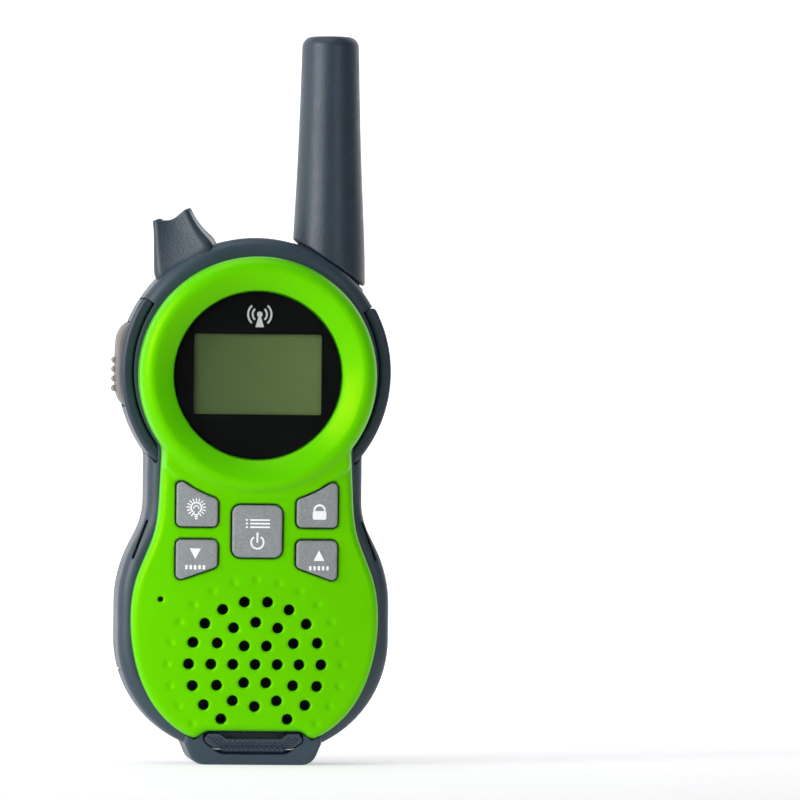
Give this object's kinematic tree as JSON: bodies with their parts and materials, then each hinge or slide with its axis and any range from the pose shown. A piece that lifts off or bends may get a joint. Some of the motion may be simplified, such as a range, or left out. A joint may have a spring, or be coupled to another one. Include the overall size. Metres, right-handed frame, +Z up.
{
  "type": "two-way radio",
  "caption": "Toy handheld two-way radio with a round display head, key pad, speaker grille, whip antenna, torch, talk button, belt clip and latched battery door.",
  "frame": {"origin": "bottom centre of the whole box, on the surface the radio stands on", "axes": "+Z up along the antenna, -Y out of the display, +X to the right of the display"},
  "size_m": [0.0611, 0.0372, 0.16],
  "materials": {
    "cover_plastic": "satin moulded plastic",
    "casing_plastic": "fine grained moulded plastic",
    "grip_rubber": "soft matte rubber",
    "button_rubber": "soft matte rubber",
    "key_plastic": "fine speckled, satin",
    "black_plastic": "matte",
    "membrane_rubber": "matte silicone rubber",
    "contact_steel": "plated",
    "window_glass": "clear, polished",
    "mask_print": "glossy black print",
    "gasket_foam": "foam",
    "lcd_panel": "grey-green display",
    "white_plastic": "matte",
    "board_laminate": "solder mask",
    "speaker_paper": "pressed paper",
    "magnet_iron": "bare",
    "felt": "felt",
    "antenna_rubber": "grained, semi-matte",
    "spring_brass": "bare",
    "torch_glass": "clear",
    "reflector_chrome": "bright",
    "cell_wrap": "printed sleeve, plain",
    "latch_plastic": "crosshatched pad",
    "screw_steel": "zinc plated"
  },
  "bodies": {
    "body": {"front_cover": "cover_plastic", "rear_casing": "casing_plastic", "left_side_grip": "grip_rubber", "right_side_grip": "grip_rubber", "keypad_guide": "black_plastic", "keypad_membrane": "membrane_rubber", "key_domes": "contact_steel", "display_window": "window_glass", "window_mask": "mask_print", "window_gasket": "gasket_foam", "lcd_glass": "lcd_panel", "lcd_frame": "white_plastic", "lcd_backlight": "white_plastic", "lcd_connector": "membrane_rubber", "main_board": "board_laminate", "shield_can": "contact_steel", "board_chips": "black_plastic", "talk_switch": "black_plastic", "earphone_socket": "black_plastic", "microphone": "black_plastic", "speaker_frame": "contact_steel", "speaker_cone": "speaker_paper", "speaker_magnet": "magnet_iron", "speaker_felt": "felt", "antenna_sheath": "antenna_rubber", "antenna_neck": "black_plastic", "antenna_coil": "spring_brass", "torch_bezel": "antenna_rubber", "torch_lens": "torch_glass", "torch_reflector": "reflector_chrome", "torch_lamp": "white_plastic", "door_latch_pin": "contact_steel", "battery_cell_1": "cell_wrap", "battery_cell_2": "cell_wrap", "battery_cell_3": "cell_wrap", "battery_cell_4": "cell_wrap", "battery_contacts": "contact_steel", "battery_springs": "contact_steel", "case_screws": "screw_steel", "board_screws": "screw_steel"},
    "talk_button": {"talk_button": "button_rubber"},
    "jack_cover": {"jack_cover": "grip_rubber"},
    "key_light": {"key_light": "key_plastic"},
    "key_menu": {"key_menu": "key_plastic"},
    "key_lock": {"key_lock": "key_plastic"},
    "key_down": {"key_down": "key_plastic"},
    "key_up": {"key_up": "key_plastic"},
    "battery_door": {"battery_door": "casing_plastic"},
    "door_latch": {"door_latch": "latch_plastic"},
    "clip_bracket": {"clip_bracket": "casing_plastic", "clip_pin": "contact_steel", "clip_spring": "contact_steel"},
    "clip_arm": {"clip_arm": "casing_plastic"}
  },
  "joints": [
    {"name": "talk_button_press", "type": "slide", "parent": "body", "child": "talk_button", "axis": [1, 0, 0], "range_m": [0, 0.001], "stiffness_N_per_m": 700, "springref_m": -0.001},
    {"name": "key_light_press", "type": "slide", "parent": "body", "child": "key_light", "axis": [0, 1, 0], "range_m": [0, 0.0007], "stiffness_N_per_m": 600, "springref_m": -0.0008},
    {"name": "key_menu_press", "type": "slide", "parent": "body", "child": "key_menu", "axis": [0, 1, 0], "range_m": [0, 0.0007], "stiffness_N_per_m": 600, "springref_m": -0.0008},
    {"name": "key_lock_press", "type": "slide", "parent": "body", "child": "key_lock", "axis": [0, 1, 0], "range_m": [0, 0.0007], "stiffness_N_per_m": 600, "springref_m": -0.0008},
    {"name": "key_down_press", "type": "slide", "parent": "body", "child": "key_down", "axis": [0, 1, 0], "range_m": [0, 0.0007], "stiffness_N_per_m": 600, "springref_m": -0.0008},
    {"name": "key_up_press", "type": "slide", "parent": "body", "child": "key_up", "axis": [0, 1, 0], "range_m": [0, 0.0007], "stiffness_N_per_m": 600, "springref_m": -0.0008},
    {"name": "jack_cover_hinge", "type": "hinge", "parent": "body", "child": "jack_cover", "pos_m": [0.02975, 0.0001, 0.086], "axis": [0, 0, 1], "range_deg": [0, 100]},
    {"name": "battery_door_lift", "type": "slide", "parent": "body", "child": "battery_door", "axis": [0, 1, 0], "range_m": [0, 0.03]},
    {"name": "door_latch_swing", "type": "hinge", "parent": "body", "child": "door_latch", "pos_m": [0, -0.0115, 0.0035], "axis": [1, 0, 0], "range_deg": [0, 30], "stiffness_Nm_per_rad": 0.01, "springref_deg": -17.19},
    {"name": "clip_bracket_slide", "type": "slide", "parent": "body", "child": "clip_bracket", "axis": [0, 0, 1], "range_m": [0, 0.03]},
    {"name": "clip_arm_swing", "type": "hinge", "parent": "clip_bracket", "child": "clip_arm", "pos_m": [0, 0.0156, 0.096], "axis": [1, 0, 0], "range_deg": [0, 18], "stiffness_Nm_per_rad": 0.15, "springref_deg": -20.05}
  ]
}
